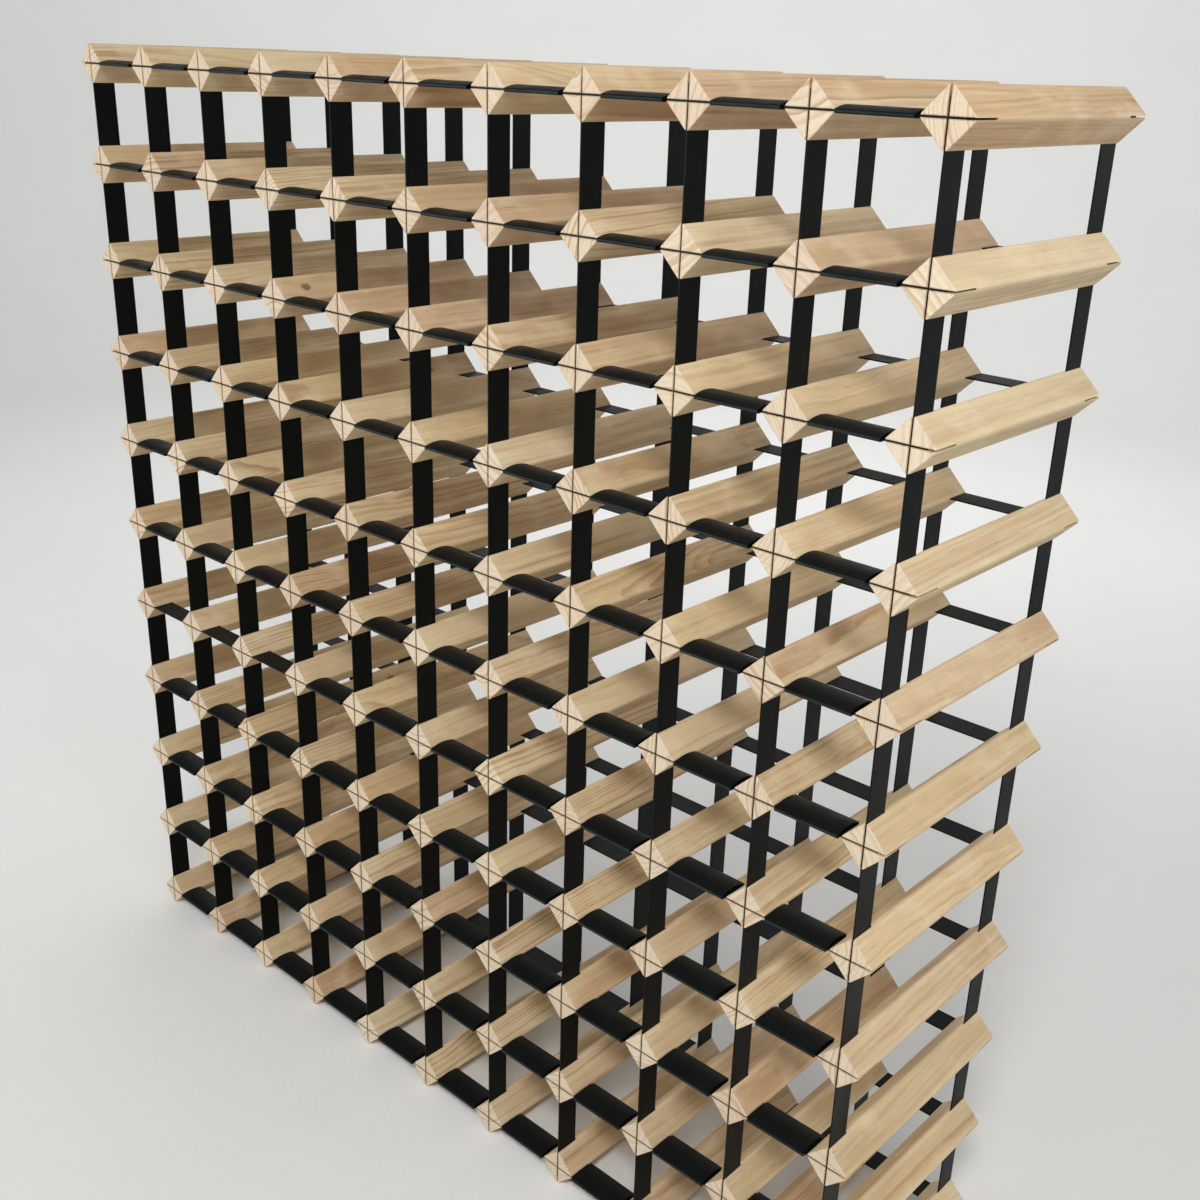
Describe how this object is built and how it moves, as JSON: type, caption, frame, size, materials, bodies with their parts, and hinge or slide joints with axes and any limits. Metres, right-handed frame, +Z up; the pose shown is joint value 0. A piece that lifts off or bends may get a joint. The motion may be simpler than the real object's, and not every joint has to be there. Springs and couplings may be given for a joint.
{
  "type": "wine rack",
  "caption": "Floor-standing wine rack: square pine bars laid as diamonds on a grid, joined front and rear by flat black steel strips, with clip-on bottle rests.",
  "frame": {"origin": "middle of the rack's footprint, on the floor it stands on", "axes": "+X to the right seen from the front, +Y from the front towards the wall, +Z up"},
  "size_m": [1.0382, 0.2458, 1.0382],
  "materials": {
    "pine": "planed, unvarnished",
    "black_steel": "satin powder coat",
    "black_plastic": "satin extruded plastic"
  },
  "bodies": {
    "root": {"bars_row_01": "pine", "bars_row_02": "pine", "bars_row_03": "pine", "bars_row_04": "pine", "bars_row_05": "pine", "bars_row_06": "pine", "bars_row_07": "pine", "bars_row_08": "pine", "bars_row_09": "pine", "bars_row_10": "pine", "bars_row_11": "pine", "bottle_rests_row_01": "black_plastic", "bottle_rests_row_02": "black_plastic", "bottle_rests_row_03": "black_plastic", "bottle_rests_row_04": "black_plastic", "bottle_rests_row_05": "black_plastic", "bottle_rests_row_06": "black_plastic", "bottle_rests_row_07": "black_plastic", "bottle_rests_row_08": "black_plastic", "bottle_rests_row_09": "black_plastic", "bottle_rests_row_10": "black_plastic", "bottle_rests_row_11": "black_plastic", "front_crossbar_01": "black_steel", "front_crossbar_02": "black_steel", "front_crossbar_03": "black_steel", "front_crossbar_04": "black_steel", "front_crossbar_05": "black_steel", "front_crossbar_06": "black_steel", "front_crossbar_07": "black_steel", "front_crossbar_08": "black_steel", "front_crossbar_09": "black_steel", "front_crossbar_10": "black_steel", "front_crossbar_11": "black_steel", "front_upright_01": "black_steel", "front_upright_02": "black_steel", "front_upright_03": "black_steel", "front_upright_04": "black_steel", "front_upright_05": "black_steel", "front_upright_06": "black_steel", "front_upright_07": "black_steel", "front_upright_08": "black_steel", "front_upright_09": "black_steel", "front_upright_10": "black_steel", "front_upright_11": "black_steel", "rear_crossbars": "black_steel", "rear_upright_01": "black_steel", "rear_upright_02": "black_steel", "rear_upright_03": "black_steel", "rear_upright_04": "black_steel", "rear_upright_05": "black_steel", "rear_upright_06": "black_steel", "rear_upright_07": "black_steel", "rear_upright_08": "black_steel", "rear_upright_09": "black_steel", "rear_upright_10": "black_steel", "rear_upright_11": "black_steel"}
  },
  "joints": []
}
